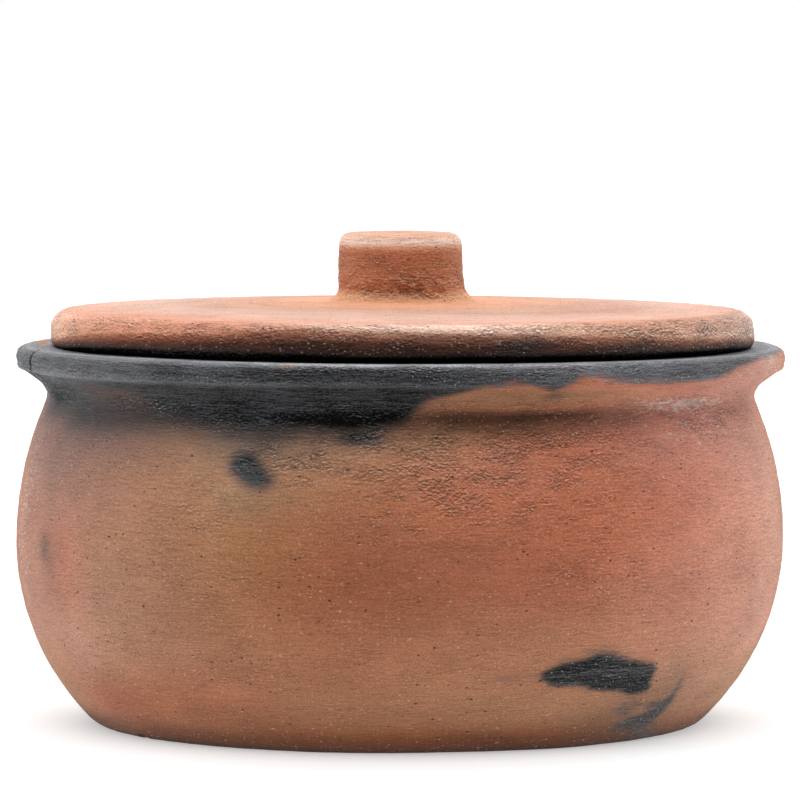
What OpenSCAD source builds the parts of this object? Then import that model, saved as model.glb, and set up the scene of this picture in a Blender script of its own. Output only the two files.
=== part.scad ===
// Lidded clay roaster: a wheel-thrown pot with a rolled lip and a wide shelf, closed by a domed slab lid with a knob.
// Millimetres, +Z up, origin on the floor plane at the centre of the pot's foot. The front faces -Y.

/* [Pot outside] */
// Height of the crest of the lip above the floor
pot_h = 137.5; // [134:0.5:150]
// Radius of the pot at its widest, the belly
belly_r = 138.9; // [110:0.1:165]
// Height of the widest point of the belly
belly_z = 67; // [58:1:80]
// How far the foot draws in from the belly, measured where it would meet the floor if it were sharp
foot_in = 29.4; // [20:0.1:40]
// Rounding where the belly turns under to the foot
foot_round = 8; // [2:0.5:12]
// How far the neck, the narrowest point under the lip, draws in from the belly
neck_in = 10.3; // [8:0.1:14]
// Height of the crest of the lip above the neck
neck_drop = 19; // [18:0.5:24]
// Radius of the hollow that flares from the neck out to the lip
cove_r = 7; // [4:0.5:8]

/* [Lip and shelf] */
// How far the lip stands out from the neck
lip_out = 11.4; // [10:0.1:15]
// Radius of the rolled bead that makes the lip
bead_r = 4.8; // [4.3:0.1:5.3]
// Depth of the shelf below the crest of the lip
seat_drop = 1.2; // [0.8:0.1:3]
// Rounding in the corner between the shelf and the lip
seat_round = 2; // [1:0.1:3]
// Width of the lip and the shelf together, from the outside of the lip to the mouth
rim_w = 41; // [30:0.5:50]
// Rounding of the mouth's edges
mouth_round = 4; // [2:0.5:5.5]
// Thickness of the shelf at the mouth
shelf_t = 12; // [11.5:0.5:16]
// Number of turning rings that the potter's finger leaves in the shelf
ring_count = 6; // [2:1:6]
// Depth of each turning ring
ring_depth = 0.5; // [0.2:0.1:0.7]
// Radius of the fingertip that cuts a turning ring
ring_tip_r = 3; // [2:0.5:3.5]

/* [Pot inside] */
// Thickness of the wall
wall = 9.5; // [6:0.5:12]
// Thickness of the floor
floor_t = 10.5; // [7:0.5:14]
// Rounding between the wall and the floor inside
floor_round = 25; // [10:1:35]
// Rounding between the wall and the underside of the shelf inside
shoulder_round = 12; // [8:0.5:16]

/* [Nick in the foot] */
// Direction of the nick from the centre of the foot
nick_angle = 215; // [190:1:260]
// Radius of the pinched nick
nick_r = 2.2; // [1:0.1:4]
// Length of the nick along the radius of the foot
nick_len = 14; // [6:1:20]

/* [Lid] */
// Gap between the edge of the lid and the rounded corner of the lip, all round
lid_gap = 3.8; // [1:0.1:8]
// Thickness of the slab at its centre, under the knob
lid_t = 16.6; // [15:0.1:20]
// Rise of the slab's top from its edge to its centre
lid_crown = 3.6; // [1:0.1:4]
// Rounding of the lid's upper edge
lid_round_top = 6.5; // [3:0.5:7]
// Rounding of the lid's lower edge
lid_round_under = 4; // [2:0.5:4.5]

/* [Knob] */
// Height of the knob above the slab
knob_h = 25.2; // [20:0.1:36]
// Radius of the knob at its top
knob_top_r = 22.3; // [16:0.1:22.8]
// Radius of the knob at its foot
knob_foot_r = 22.9; // [22.4:0.1:28]
// Rise of the knob's top from its edge to its centre
knob_crown = 0.9; // [0.3:0.1:2]
// Rounding of the knob's upper edge
knob_round = 4; // [2:0.5:8]
// Rounding where the knob is luted to the slab
knob_fillet = 6; // [1:0.5:8]

/* [Hidden] */

// Largest distance between an arc and the chords that draw it
arc_tolerance = 0.02;
turn_fn = 180;
nick_fn = 48;
clay = "#b8714f";
lid_clay = "#c98560";

// Side of a right triangle from its longest side and the other side
function across(longest, other) = sqrt(pow(longest, 2) - pow(other, 2));

// Angle of the direction from one point to another
function heading(from, to) = atan2(to.y - from.y, to.x - from.x);

// Radius of a shallow dome that rises by the given amount over a half width
function dome_radius(half, rise) = (pow(half, 2) + pow(rise, 2)) / (2 * rise);

// Points along an arc, as many as the tolerance needs
function arc(c, r, from, to) =
    let (step = 2 * acos(1 - arc_tolerance / r))
    let (count = max(2, ceil(abs(to - from) / step)))
    [for (i = [0:count]) let (a = from + (to - from) * i / count) c + r * [cos(a), sin(a)]];

// Belly below its widest point: an arc from the foot that stands upright at the belly
lower_r = (pow(foot_in, 2) + pow(belly_z, 2)) / (2 * foot_in);
lower_c = [belly_r - lower_r, belly_z];
foot_c = [lower_c.x + across(lower_r - foot_round, belly_z - foot_round), foot_round];
foot_turn = heading(lower_c, foot_c);

// Hollow under the lip, whose innermost point is the neck
neck_r = belly_r - neck_in;
neck_z = pot_h - neck_drop;
cove_c = [neck_r + cove_r, neck_z];

// Belly above its widest point: an arc that stands upright at the belly and runs smoothly into the hollow
upper_r = (pow(cove_r - neck_in, 2) + pow(neck_z - belly_z, 2) - pow(cove_r, 2)) / (2 * neck_in);
upper_c = [belly_r - upper_r, belly_z];
upper_end = heading(upper_c, cove_c);

// Bead of the lip, and the direction of the straight slope that joins it to the hollow
rim_r = neck_r + lip_out;
bead_c = [rim_r - bead_r, pot_h - bead_r];
flare = heading(cove_c, bead_c) + acos((cove_r + bead_r) / norm(bead_c - cove_c));

// Shelf that carries the lid
seat_z = pot_h - seat_drop;
corner_z = seat_z + seat_round;
corner_c = [bead_c.x - across(bead_r + seat_round, corner_z - bead_c.y), corner_z];
under_z = seat_z - shelf_t;
mouth_c = [rim_r - rim_w + mouth_round, seat_z - mouth_round];
ring_pitch = (corner_c.x - mouth_c.x) / ring_count;
ring_angle = acos((ring_tip_r - ring_depth) / ring_tip_r);

// Inside of the belly, parallel to the outside
upper_in = upper_r - wall;
lower_in = lower_r - wall;
shoulder_z = under_z - shoulder_round;
shoulder_c = [upper_c.x + across(upper_in - shoulder_round, shoulder_z - belly_z), shoulder_z];
basin_z = floor_t + floor_round;
basin_c = [lower_c.x + across(lower_in - floor_round, belly_z - basin_z), basin_z];

// Slab of the lid: its dome touches the rounding of the edge and the fillet of the knob
lid_r = corner_c.x - lid_gap;
slab_top_z = seat_z + lid_t;
slab_r = dome_radius(lid_r, lid_crown);
slab_c = [0, slab_top_z - slab_r];
under_edge_c = [lid_r - lid_round_under, seat_z + lid_round_under];
top_edge_x = lid_r - lid_round_top;
top_edge_c = [top_edge_x, slab_c.y + across(slab_r - lid_round_top, top_edge_x)];
fillet_x = knob_foot_r + knob_fillet;
fillet_c = [fillet_x, slab_c.y + across(slab_r + knob_fillet, fillet_x)];

// Knob
cap_r = dome_radius(knob_top_r, knob_crown);
cap_c = [0, slab_top_z + knob_h - cap_r];
knob_edge_x = knob_top_r - knob_round;
knob_edge_c = [knob_edge_x, cap_c.y + across(cap_r - knob_round, knob_edge_x)];

// Foot and belly, from the middle of the foot up to the neck
function outside() = concat(
    [[0, 0]],
    arc(foot_c, foot_round, -90, foot_turn),
    arc(lower_c, lower_r, foot_turn, 0),
    arc(upper_c, upper_r, 0, upper_end)
);

// The hollow flares out in a straight slope to the bead, which rolls over the crest to the shelf
function lip() = concat(
    arc(cove_c, cove_r, upper_end + 180, flare),
    arc(bead_c, bead_r, flare - 180, heading(bead_c, corner_c)),
    arc(corner_c, seat_round, heading(corner_c, bead_c), -90)
);

// One turning ring, drawn from its outer side to its inner side
function ring(r) = arc([r, seat_z + ring_tip_r - ring_depth], ring_tip_r, ring_angle - 90, -ring_angle - 90);

// Shelf with its turning rings, then the rounded edge of the mouth
function shelf() = concat(
    [for (i = [0:ring_count - 1]) each ring(corner_c.x - (i + 0.5) * ring_pitch)],
    arc(mouth_c, mouth_round, 90, 180),
    arc([mouth_c.x, under_z + mouth_round], mouth_round, 180, 270)
);

// Under the shelf, down the wall and round to the floor
function inside() = concat(
    arc(shoulder_c, shoulder_round, 90, heading(upper_c, shoulder_c)),
    arc(upper_c, upper_in, heading(upper_c, shoulder_c), 0),
    arc(lower_c, lower_in, 0, heading(lower_c, basin_c)),
    arc(basin_c, floor_round, heading(lower_c, basin_c), -90),
    [[0, floor_t]]
);

// Underside, rounded edge and domed top of the slab
function slab() = concat(
    [[0, seat_z]],
    arc(under_edge_c, lid_round_under, -90, 0),
    arc(top_edge_c, lid_round_top, 0, heading(slab_c, top_edge_c)),
    arc(slab_c, slab_r, heading(slab_c, top_edge_c), heading(slab_c, fillet_c))
);

// Fillet, drafted side, rounded edge and domed top of the knob
function knob() = concat(
    arc(fillet_c, knob_fillet, heading(fillet_c, slab_c) + 360, 180),
    arc(knob_edge_c, knob_round, 0, heading(cap_c, knob_edge_c)),
    arc(cap_c, cap_r, heading(cap_c, knob_edge_c), 90)
);

// Nick that a finger or a stone pinched into the edge of the foot
module nick() {
    rotate([0, 0, nick_angle])
        translate([foot_c.x, 0, 0])
            rotate([0, 90, 0])
                cylinder(h = nick_len, r = nick_r, $fn = nick_fn);
}

module pot() {
    color(clay)
        difference() {
            rotate_extrude($fn = turn_fn)
                polygon(concat(outside(), lip(), shelf(), inside()));
            nick();
        }
}

// The knob is luted on and fired with the slab, so both are one piece
module lid() {
    color(lid_clay)
        rotate_extrude($fn = turn_fn)
            polygon(concat(slab(), knob()));
}

pot();
lid();
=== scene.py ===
"""Looks of a lidded clay roaster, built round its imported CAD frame.

Two turned meshes take the place of the plain nodes, in fired clay with soot, on a pale floor in soft light.
"""
import math

import bpy
import numpy as np
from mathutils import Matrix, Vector, noise
from mathutils.bvhtree import BVHTree


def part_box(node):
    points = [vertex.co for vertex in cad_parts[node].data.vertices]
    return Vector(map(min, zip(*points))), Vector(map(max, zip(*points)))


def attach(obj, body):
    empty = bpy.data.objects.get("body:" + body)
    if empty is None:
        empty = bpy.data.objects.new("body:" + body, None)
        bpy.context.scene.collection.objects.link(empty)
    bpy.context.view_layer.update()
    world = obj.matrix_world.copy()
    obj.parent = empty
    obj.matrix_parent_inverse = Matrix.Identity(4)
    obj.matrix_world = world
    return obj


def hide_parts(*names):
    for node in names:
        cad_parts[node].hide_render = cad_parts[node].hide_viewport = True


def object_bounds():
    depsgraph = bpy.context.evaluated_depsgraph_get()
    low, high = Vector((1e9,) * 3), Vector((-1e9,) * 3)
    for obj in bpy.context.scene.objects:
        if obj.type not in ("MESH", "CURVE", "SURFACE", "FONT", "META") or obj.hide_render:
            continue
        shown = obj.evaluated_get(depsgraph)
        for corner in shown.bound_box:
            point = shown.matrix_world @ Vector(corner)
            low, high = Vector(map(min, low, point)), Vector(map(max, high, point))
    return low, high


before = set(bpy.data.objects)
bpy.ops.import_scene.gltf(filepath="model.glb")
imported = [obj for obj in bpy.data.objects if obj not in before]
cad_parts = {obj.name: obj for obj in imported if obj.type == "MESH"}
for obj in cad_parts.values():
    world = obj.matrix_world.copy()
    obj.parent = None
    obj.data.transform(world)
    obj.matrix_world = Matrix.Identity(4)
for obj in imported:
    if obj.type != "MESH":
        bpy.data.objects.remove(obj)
cad_low, cad_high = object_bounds()

MM = 0.001

# Camera: where the photograph was taken from
IMAGE = 800
SENSOR = 36
PIXEL = 0.3636 * MM
CAMERA_FAR = 2320 * MM
CAMERA_HIGH = 258.7 * MM
AIM = Vector((-0.36 * MM, 0, 116.6 * MM))

# Heights of the pieces, from the frame
SEAT_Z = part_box("lid")[0].z
CREST_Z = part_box("pot")[1].z
TOP_Z = cad_high.z


def make_camera():
    """The camera at the photograph's angle, and the focal length that gives the photograph's scale."""
    data = bpy.data.cameras.new("camera")
    camera = bpy.data.objects.new("camera", data)
    bpy.context.scene.collection.objects.link(camera)
    camera.location = (AIM.x, -CAMERA_FAR, CAMERA_HIGH)
    look = AIM - camera.location
    camera.rotation_mode = "QUATERNION"
    camera.rotation_quaternion = look.to_track_quat("-Z", "Y")
    data.sensor_width = SENSOR
    data.lens = SENSOR * look.length / (IMAGE * PIXEL)
    data.clip_start = 0.05
    data.clip_end = 100
    bpy.context.scene.camera = camera
    return camera


camera = make_camera()


def smoothstep(value, low, high):
    t = np.clip((value - low) / (high - low), 0, 1)
    return t * t * (3 - 2 * t)


def bell(value, centre, width):
    return np.exp(-0.5 * ((value - centre) / width) ** 2)


def noise_at(points, size):
    """Smooth noise from -1 to 1 at each point; size is the size of its lumps, in the points' own units."""
    return np.array([noise.noise(Vector(p)) for p in points / size])


# Outlines: each turned node's own outline, read from its mesh on the half plane right of the axis
def outline(node):
    """Points (r, z) of a turned node's outline, from the axis at its foot round to the axis at its top."""
    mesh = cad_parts[node].data
    flat = 1e-6
    place = {}
    for v in mesh.vertices:
        if abs(v.co.y) < flat and v.co.x > -flat:
            place[v.index] = (round(v.co.x, 6), round(v.co.z, 6))
    links = {p: set() for p in place.values()}
    for a, b in (edge.vertices for edge in mesh.edges):
        if a in place and b in place and place[a] != place[b]:
            links[place[a]].add(place[b])
            links[place[b]].add(place[a])
    at = min((p for p in links if len(links[p]) == 1), key=lambda p: p[1])
    chain = [at]
    while True:
        ahead = [p for p in links[at] if p not in chain]
        if not ahead:
            break
        at = min(ahead, key=lambda p: math.dist(p, at))
        chain.append(at)
    ends = [(0, p[1]) for p in (chain[0], chain[-1]) if p[0] > flat]
    return np.array(ends[:1] + chain + ends[1:])


def respace(points, spacing):
    """The same outline with new points; spacing(r, z) is how far apart they lie there."""
    steps = np.hypot(*np.diff(points, axis=0).T)
    along = np.concatenate([[0], np.cumsum(steps)])
    places = [0.0]
    while places[-1] < along[-1]:
        r = np.interp(places[-1], along, points[:, 0])
        z = np.interp(places[-1], along, points[:, 1])
        places.append(places[-1] + spacing(r, z))
    places = np.array(places[1:-1])
    return places, np.interp(places, along, points[:, 0]), np.interp(places, along, points[:, 1]), along


class Turned:
    """A turned piece as a grid: rows along its outline, columns round its axis.

    moved(points) bends the plain turned shape into the piece as it stands.
    """

    def __init__(self, node, spacing, angles, moved):
        points = outline(node)
        self.node = node
        self.moved = moved
        self.points = points
        self.row_along, self.row_r, self.row_z, self.point_along = respace(points, spacing)
        dr = np.gradient(self.row_r)
        dz = np.gradient(self.row_z)
        length = np.hypot(dr, dz)
        self.angles = angles
        rows = len(self.row_r)
        columns = len(angles)
        self.shape = (rows, columns)
        self.angle = np.tile(angles, rows)
        self.along = np.repeat(self.row_along, columns)
        self.r = np.repeat(self.row_r, columns)
        self.z = np.repeat(self.row_z, columns)
        self.normal_r = np.repeat(dz / length, columns)
        self.normal_z = np.repeat(-dr / length, columns)
        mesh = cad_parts[node].data
        faces = [p.vertices for p in mesh.polygons]
        corners = moved(np.array([v.co for v in mesh.vertices]))
        self.tree = BVHTree.FromPolygons(corners.tolist(), faces)
        self.crest = self.point_along[np.argmax(points[:, 1])]

    def rest(self):
        """Each point of the grid on the plain turned shape."""
        x = self.r * np.sin(self.angle)
        y = -self.r * np.cos(self.angle)
        return np.column_stack([x, y, self.z])

    def pushed(self, out):
        """The grid moved along its own normals."""
        r = self.r + out * self.normal_r
        x = r * np.sin(self.angle)
        y = -r * np.cos(self.angle)
        return np.column_stack([x, y, self.z + out * self.normal_z])

    def seen(self, pixel):
        """(angle, along) of the place on this piece that a pixel of the photograph shows."""
        scale = SENSOR / (camera.data.lens * IMAGE)
        ray = Vector(((pixel[0] - IMAGE / 2) * scale, (IMAGE / 2 - pixel[1]) * scale, -1))
        ray = camera.rotation_quaternion @ ray
        hit = self.tree.ray_cast(camera.location, ray.normalized())[0]
        if hit is None:
            raise ValueError(f"pixel {pixel} does not show {self.node}")
        found = np.array([hit])
        x, y, z = (2 * found - self.moved(found))[0]
        return math.atan2(x, -y), self.place(np.array([math.hypot(x, y), z]))

    def place(self, spot):
        """How far along the outline its nearest place to a spot (r, z) lies."""
        start = self.points[:-1]
        step = np.diff(self.points, axis=0)
        share = np.clip(((spot - start) * step).sum(1) / (step ** 2).sum(1), 0, 1)
        gaps = np.hypot(*(start + share[:, None] * step - spot).T)
        best = np.argmin(gaps)
        return self.point_along[best] + share[best] * np.hypot(*step[best])

    def from_mark(self, pixel):
        """How far each point lies from a pixel's place: round the axis and along the outline."""
        angle, along = self.seen(pixel)
        turn = (self.angle - angle + math.pi) % (2 * math.pi) - math.pi
        return turn * self.r, self.along - along

    def build(self, name, co, ends):
        """The mesh object, closed by one vertex at each end of the outline, on the axis."""
        rows, columns = self.shape
        grid = np.arange(rows * columns).reshape(rows, columns)
        ahead = np.roll(grid, -1, axis=1)
        quads = np.stack([grid[:-1], ahead[:-1], ahead[1:], grid[1:]], axis=-1).reshape(-1, 4)
        first = rows * columns
        last = first + 1
        fans = [(first, b, a) for a, b in zip(grid[0], ahead[0])]
        fans += [(last, a, b) for a, b in zip(grid[-1], ahead[-1])]
        mesh = bpy.data.meshes.new(name)
        mesh.from_pydata(np.vstack([co, ends]).tolist(), [], quads.tolist() + fans)
        mesh.shade_smooth()
        mesh.update()
        piece = bpy.data.objects.new(name, mesh)
        bpy.context.scene.collection.objects.link(piece)
        return piece

    def paint(self, piece, name, values):
        """A value or a colour at each point of the grid, for the material to read by name."""
        values = np.asarray(values, float)
        kind = "FLOAT" if values.ndim == 1 else "FLOAT_COLOR"
        layer = piece.data.attributes.new(name, kind, "POINT")
        if values.ndim == 1:
            values = np.concatenate([values, values[:1], values[-1:]])
            layer.data.foreach_set("value", values.astype(np.float32))
        else:
            full = np.ones((len(values) + 2, 4), np.float32)
            full[:-2, :3] = values
            full[-2, :3] = values[0]
            full[-1, :3] = values[-1]
            layer.data.foreach_set("color", full.ravel())


def columns_with(count, close_ups):
    """Evenly spaced angles round the axis, and more of them at each close-up (angle, half width, extra)."""
    angles = list(np.linspace(-math.pi, math.pi, count, endpoint=False))
    for angle, half, extra in close_ups:
        angles += list(np.linspace(angle - half, angle + half, extra))
    return np.array(sorted(set(round(a, 5) for a in angles)))


# Paint: soft fields over a piece's surface, set out from pixels of the photograph
EVERYWHERE = 1000


def screen(red, green, blue):
    """A colour as it is written for a screen, 0 to 255, turned into linear light."""
    value = np.array([red, green, blue]) / 255
    return np.where(value > 0.04045, ((value + 0.055) / 1.055) ** 2.4, value / 12.92)


def near(piece, pixel, wide, high):
    """A soft spot, 1 at the pixel's place; wide and high say how far it reaches, in millimetres."""
    across, along = piece.from_mark(pixel)
    return np.exp(-0.5 * ((across / (wide * MM)) ** 2 + (along / (high * MM)) ** 2))


def summed(piece, places, start=0.0):
    """The sum of soft spots of (pixel, wide, high, strength), over a start value that is everywhere."""
    field = np.full(len(piece.r), float(start))
    for pixel, wide, high, strength in places:
        field += strength * near(piece, pixel, wide, high)
    return field


def strongest(piece, places, start=0.0):
    """The strongest soft spot of (pixel, wide, high, strength) at each point, or the start value."""
    field = np.full(len(piece.r), float(start))
    for pixel, wide, high, strength in places:
        field = np.maximum(field, strength * near(piece, pixel, wide, high))
    return field


def ground(piece, zones, shade, share):
    """The clay's colour, with the painted shade that some zones hold: soft zones of (pixel, wide, high,
    colour) over one shade everywhere.
    """
    total = np.full(len(piece.r), share)
    mixed = np.outer(total, screen(*shade))
    for pixel, wide, high, zone_shade in zones:
        weight = near(piece, pixel, wide, high)
        total += weight
        mixed += np.outer(weight, screen(*zone_shade))
    return mixed / total[:, None]


def bands(piece, column, rows, under, raised, squeeze, foot, knee):
    """The clay's colour in soft bands round the piece, painted highlights and shade included, and its
    colour underneath.

    A row of the photograph, at one column, says where each band lies. Below the knee the bands are raised,
    and above the foot they are squeezed downwards by the given factor.
    """
    shades = {piece.seen((column, row))[1]: screen(*shade) for row, shade in rows}
    shades[min(shades) - 4 * MM] = screen(*under)
    places = sorted(shades)
    levels = np.array([shades[place] for place in places])
    low = piece.seen(foot)[1]
    high = piece.seen(knee)[1]
    lowered = piece.along - raised
    squeezed = np.minimum(low + (lowered - low) * squeeze, high)
    along = np.where(lowered > low, squeezed, lowered)
    along = np.where(piece.along < high, along, piece.along)
    return np.column_stack([np.interp(along, places, levels[:, i]) for i in range(3)])


def varied(piece, colours, zones):
    """The colours made lighter or darker in soft zones of (pixel, wide, high, factors)."""
    for pixel, wide, high, factors in zones:
        colours = colours * (1 + np.outer(near(piece, pixel, wide, high), np.array(factors) - 1))
    return colours


def laid_flat(piece, pixels):
    """The grid's points and the pixels' places in one plane: round the axis and along the outline."""
    first_angle, first_along = piece.seen(pixels[0])
    corners = []
    for pixel in pixels:
        angle, along = piece.seen(pixel)
        r = np.interp(along, piece.point_along, piece.points[:, 0])
        corners.append(((angle - first_angle) * r, along - first_along))
    return *piece.from_mark(pixels[0]), corners


def from_line(across, along, start, end):
    """Distance of each point from a line between two places, and how far along the line it is, 0 to 1."""
    dx = end[0] - start[0]
    dy = end[1] - start[1]
    share = np.clip(((across - start[0]) * dx + (along - start[1]) * dy) / (dx * dx + dy * dy), 0, 1)
    return np.hypot(across - start[0] - share * dx, along - start[1] - share * dy), share


def patch(piece, pixels, soft, stray):
    """A patch with corners at the pixels: 0.5 on its edge, 1 half its softness (millimetres) further in."""
    across, along, corners = laid_flat(piece, pixels)
    inside = np.zeros(len(across), bool)
    nearest = np.full(len(across), np.inf)
    for start, end in zip(corners, corners[1:] + corners[:1]):
        nearest = np.minimum(nearest, from_line(across, along, start, end)[0])
        crossing = start[0] + (along - start[1]) * (end[0] - start[0]) / (end[1] - start[1])
        inside ^= ((start[1] > along) != (end[1] > along)) & (across < crossing)
    return 0.5 + (np.where(inside, nearest, -nearest) + stray) / (soft * MM)


def trail(piece, pixels, half_widths, soft, stray):
    """A line through the pixels, with a half width in millimetres at each: 0.5 on its edge, more inside."""
    across, along, places = laid_flat(piece, pixels)
    best = np.full(len(across), -np.inf)
    for i in range(len(places) - 1):
        distance, share = from_line(across, along, places[i], places[i + 1])
        half = half_widths[i] + (half_widths[i + 1] - half_widths[i]) * share
        best = np.maximum(best, half * MM - distance)
    return 0.5 + (best + stray) / (soft * MM)


def edge_round(piece, pixels, behind):
    """A line right round the piece: through pixels in front, by (degrees, drop from the crest) behind."""
    marks = [piece.seen(pixel) for pixel in pixels]
    marks += [(math.radians(degrees), piece.crest - drop * MM) for degrees, drop in behind]
    angles, places = zip(*sorted(marks))
    return np.interp(piece.angle, angles, places, period=2 * math.pi)


# Shape of the pot: what the hand and the fire did to the turned form
POT_COLUMNS = 330
TILT = 0.0036
ROLL = 0.0028
UNLEVEL_FROM_Z = 50 * MM
CREST_DROP = 0.8 * MM
PRESSED_FROM_Z = 132 * MM
PRESSED_FROM_R = 128 * MM, 131 * MM
LEAN = -1.4 * MM
LEAN_BEND = 1.7
RIM_HELD_IN = 139 * MM, 139.6 * MM

# Crack, ridge, crease, dents and nick: angles, pixels of the photograph that show their places, and sizes
CRACK_ANGLE = math.radians(-71.5)
CRACK_TOP = (31, 347)
CRACK_FOOT = (31, 374)
CRACK_WIDTH = 0.45 * MM
CRACK_WAVE = 1.7 * MM
RIDGE = (100, 378)
RIDGE_WIDTH = 0.9 * MM
CREASE = (480, 414)
CREASE_WIDTH = 0.7 * MM
CREST_DENT = (524, 362)
CREST_DIP = (470, 364)
NICK_ANGLE = math.radians(-55)
NICK_RADIUS = 2.2 * MM
NICK_INNER_R = 104 * MM

# The belly's swell, and the sizes of its lumps, of the marks dragged round it and of its torn clay
SWELL_Z = 70 * MM
SWELL_SPREAD = 38 * MM
SWELL_END = 95 * MM, 120 * MM
LUMPS = 60 * MM
DRAG = 4 * MM
DRAG_STRETCH = [0.15, 0.15, 1]
TEAR = 3 * MM
TEAR_STRETCH = [0.5, 0.5, 1]
TORN_PATCHES = 45 * MM
BEHIND = math.radians(80), math.radians(110)


def pot_moved(co):
    """The pot leans, its rim isn't quite level, and the crest of its lip is pressed down a little."""
    x, y, z = co.T
    lean = LEAN * (1 - np.clip(z / CREST_Z, 0, 1)) ** LEAN_BEND
    level = (y * TILT + x * ROLL) * smoothstep(z, UNLEVEL_FROM_Z, SEAT_Z)
    pressed = CREST_DROP * smoothstep(z, PRESSED_FROM_Z, CREST_Z)
    pressed *= smoothstep(np.hypot(x, y), *PRESSED_FROM_R)
    return np.column_stack([x + lean, y, z - level - pressed])


# How far apart the rows of the grids lie, and where the pot's lip, shelf, wall and foot begin
FINE_ROWS = 0.6 * MM
WALL_ROWS = 1.5 * MM
LID_TOP_ROWS = 1.8 * MM
SHELF_ROWS = 2 * MM
HIDDEN_ROWS = 6 * MM
LIP_R = 126 * MM
LIP_Z = 122 * MM
SHELF_Z = 120 * MM
WALL_R = 122 * MM
FOOT_R = 106 * MM
FOOT_Z = 30 * MM


def pot_spacing(r, z):
    if r > LIP_R and z > LIP_Z:
        return FINE_ROWS
    if z > SHELF_Z:
        return SHELF_ROWS
    if r > WALL_R or (r > FOOT_R and z < FOOT_Z):
        return WALL_ROWS
    return HIDDEN_ROWS


def crack(pot):
    """The crack that runs down the left end of the lip: 1 along its middle, 0 outside it."""
    top = pot.seen(CRACK_TOP)[1]
    foot = pot.seen(CRACK_FOOT)[1]
    wander = 0.4 * np.sin(pot.along / CRACK_WAVE) * MM
    across = (pot.angle - CRACK_ANGLE) * pot.r - wander
    length = smoothstep(pot.along, foot - 1 * MM, foot) * (1 - smoothstep(pot.along, top, top + 1 * MM))
    return bell(across, 0, CRACK_WIDTH) * length


TORN_SPOTS = (
    ((470, 475), 36, 16, 1.0), ((400, 445), 32, 10, 0.85), ((330, 455), 22, 9, 0.9),
    ((560, 450), 30, 12, 0.9), ((255, 425), 20, 3, 0.8), ((150, 405), 14, 3, 0.9),
    ((700, 415), 24, 6, 0.8), ((560, 370), 40, 3, 0.6), ((410, 367), 42, 3, 1.0),
    ((600, 560), 24, 20, 0.4), ((230, 600), 20, 10, 0.35), ((190, 515), 16, 10, 0.4),
)


def pot_torn(pot):
    """Where the wheel tore the surface open: 0 smooth, 1 roughest."""
    torn = strongest(pot, TORN_SPOTS, 0.16)
    behind = smoothstep(np.abs(pot.angle), *BEHIND)
    patches = smoothstep(noise_at(pot.rest(), TORN_PATCHES), 0.1, 0.5)
    return np.maximum(torn, 0.8 * behind * patches)


def ridge(pot):
    """Height of the finger's ridge along the lip, in millimetres: highest towards the lip's left end."""
    line = pot.seen(RIDGE)[1] + 0.8 * MM * noise_at(pot.rest(), 25 * MM)
    size = 0.3 + 0.25 * bell(np.degrees(pot.angle), -60, 30)
    return size * bell(pot.along, line, RIDGE_WIDTH)


def crease(pot):
    """Depth of the crease between neck and belly, in millimetres: deepest a little right of the front."""
    line = pot.seen(CREASE)[1] + 0.5 * MM * noise_at(pot.rest(), 9 * MM)
    size = 0.3 + 0.4 * bell(np.degrees(pot.angle), 12, 24)
    return size * bell(pot.along, line, CREASE_WIDTH)


def pot_relief(pot, torn):
    """How far each point stands out from the plain turned shape, in millimetres."""
    rest = pot.rest()
    relief = 0.5 * bell(pot.z, SWELL_Z, SWELL_SPREAD) * (1 - smoothstep(pot.z, *SWELL_END))
    relief += 0.25 * noise_at(rest, LUMPS)
    relief += 0.12 * noise_at(rest * DRAG_STRETCH, DRAG)
    relief += (0.08 + 0.2 * torn) * noise_at(rest * TEAR_STRETCH, TEAR)
    relief += ridge(pot) - crease(pot)
    relief -= 0.7 * near(pot, CREST_DENT, 2.5, 1.5) + 0.35 * near(pot, CREST_DIP, 25, 2)
    relief -= 1.3 * crack(pot) + 1.2 * near(pot, CRACK_FOOT, 1.0, 1.2)
    relief -= 0.45 * smoothstep(pot.r, *RIM_HELD_IN)
    return relief


def nicked(pot, co):
    """The points with the foot flat on the floor, and with the nick pinched into the foot's edge."""
    co[:, 2] = np.maximum(co[:, 2], 0)
    turn = (pot.angle - NICK_ANGLE) * pot.r
    nick = np.sqrt(np.clip(NICK_RADIUS ** 2 - turn ** 2, 0, None)) * (pot.r > NICK_INNER_R)
    co[:, 2] = np.where(co[:, 2] < NICK_RADIUS, np.maximum(co[:, 2], nick), co[:, 2])
    return co


def make_pot():
    close_ups = (CRACK_ANGLE, 0.03, 20), (NICK_ANGLE, 0.05, 12)
    pot = Turned("pot", pot_spacing, columns_with(POT_COLUMNS, close_ups), pot_moved)
    torn = pot_torn(pot)
    outer = smoothstep(pot.normal_r, -0.2, 0.2)
    co = pot_moved(pot.pushed(pot_relief(pot, torn) * outer * MM))
    ends = [(LEAN, 0, 0), (LEAN, 0, pot.points[-1][1])]
    piece = pot.build("roaster_pot", nicked(pot, co), ends)
    paint_pot(pot, piece, torn)
    return piece


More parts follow.
